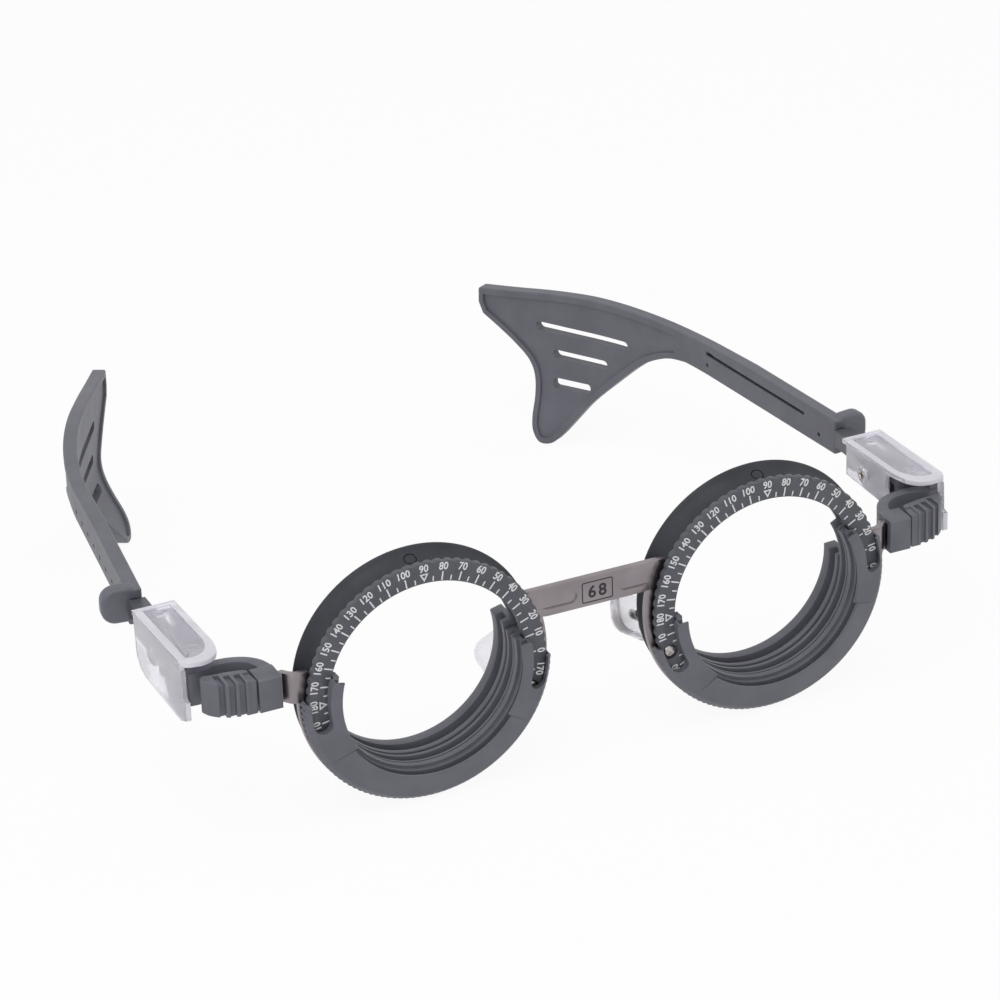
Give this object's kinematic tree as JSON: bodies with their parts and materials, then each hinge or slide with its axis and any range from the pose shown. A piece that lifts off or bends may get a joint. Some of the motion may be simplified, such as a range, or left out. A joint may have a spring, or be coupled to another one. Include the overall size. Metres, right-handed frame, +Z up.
{
  "type": "optical trial frame",
  "caption": "Optical trial frame with turning lens carriers, degree dials, a fixed bridge, clear nose pads and sliding fin-shaped temples.",
  "frame": {"origin": "centre of the bridge's front face", "axes": "+X to the wearer's left, +Y from the front towards the ears, +Z up"},
  "size_m": [0.1594, 0.1495, 0.0507],
  "materials": {
    "grey_plastic": "moulded satin",
    "dial_plastic": "moulded satin with white print",
    "shell_plastic": "moulded satin",
    "plate_steel": "brushed",
    "pin_steel": "turned",
    "clear_plastic": "clear gloss",
    "clear_silicone": "clear soft"
  },
  "bodies": {
    "front": {"front_plate": "plate_steel", "left_rear_shell": "shell_plastic", "left_rear_lens_cell": "grey_plastic", "left_axis_dial": "dial_plastic", "left_dial_screw_1": "pin_steel", "left_dial_screw_2": "pin_steel", "left_dial_screw_3": "pin_steel", "left_nose_pad_arm": "shell_plastic", "left_nose_pad": "clear_silicone", "left_end_clip": "grey_plastic", "right_rear_shell": "shell_plastic", "right_rear_lens_cell": "grey_plastic", "right_axis_dial": "dial_plastic", "right_dial_screw_1": "pin_steel", "right_dial_screw_2": "pin_steel", "right_dial_screw_3": "pin_steel", "right_nose_pad_arm": "shell_plastic", "right_nose_pad": "clear_silicone", "right_end_clip": "grey_plastic"},
    "left_carrier": {"left_lens_carrier": "grey_plastic", "left_carrier_keeper": "grey_plastic"},
    "left_grip": {"left_grip_lever": "grey_plastic"},
    "left_hinge": {"left_hinge_cover": "clear_plastic", "left_hinge_block": "dial_plastic", "left_fold_pin": "pin_steel", "left_tilt_screw": "pin_steel"},
    "left_slider": {"left_slider_bar": "dial_plastic"},
    "left_temple": {"left_temple_arm": "grey_plastic"},
    "right_carrier": {"right_lens_carrier": "grey_plastic", "right_carrier_keeper": "grey_plastic"},
    "right_grip": {"right_grip_lever": "grey_plastic"},
    "right_hinge": {"right_hinge_cover": "clear_plastic", "right_hinge_block": "dial_plastic", "right_fold_pin": "pin_steel", "right_tilt_screw": "pin_steel"},
    "right_slider": {"right_slider_bar": "dial_plastic"},
    "right_temple": {"right_temple_arm": "grey_plastic"}
  },
  "joints": [
    {"name": "left_lens_axis", "type": "hinge", "parent": "front", "child": "left_carrier", "pos_m": [0.034, -0.0018, -0.0085], "axis": [0, 1, 0], "continuous": true},
    {"name": "left_grip_press", "type": "hinge", "parent": "front", "child": "left_grip", "pos_m": [0.06535, 0.0027, -0.0051], "axis": [0, 0, 1], "range_deg": [0, 6], "stiffness_Nm_per_rad": 0.2},
    {"name": "left_temple_fold", "type": "hinge", "parent": "front", "child": "left_hinge", "pos_m": [0.07257, 0.0154, -0.0044], "axis": [0, 0, 1], "range_deg": [0, 75]},
    {"name": "left_temple_tilt", "type": "hinge", "parent": "left_hinge", "child": "left_slider", "pos_m": [0.0727, 0.0244, -0.0044], "axis": [1, 0, 0], "range_deg": [-8, 8]},
    {"name": "left_temple_length", "type": "slide", "parent": "left_slider", "child": "left_temple", "axis": [0.1219, -0.9925, 0], "range_m": [-0.03, 0]},
    {"name": "right_lens_axis", "type": "hinge", "parent": "front", "child": "right_carrier", "pos_m": [-0.034, -0.0018, -0.0085], "axis": [0, 1, 0], "continuous": true},
    {"name": "right_grip_press", "type": "hinge", "parent": "front", "child": "right_grip", "pos_m": [-0.06535, 0.0027, -0.0051], "axis": [0, 0, -1], "range_deg": [0, 6], "stiffness_Nm_per_rad": 0.2},
    {"name": "right_temple_fold", "type": "hinge", "parent": "front", "child": "right_hinge", "pos_m": [-0.07257, 0.0154, -0.0044], "axis": [0, 0, -1], "range_deg": [0, 40]},
    {"name": "right_temple_tilt", "type": "hinge", "parent": "right_hinge", "child": "right_slider", "pos_m": [-0.0727, 0.0244, -0.0044], "axis": [1, 0, 0], "range_deg": [-8, 8]},
    {"name": "right_temple_length", "type": "slide", "parent": "right_slider", "child": "right_temple", "axis": [-0.1219, -0.9925, 0], "range_m": [-0.03, 0]}
  ]
}
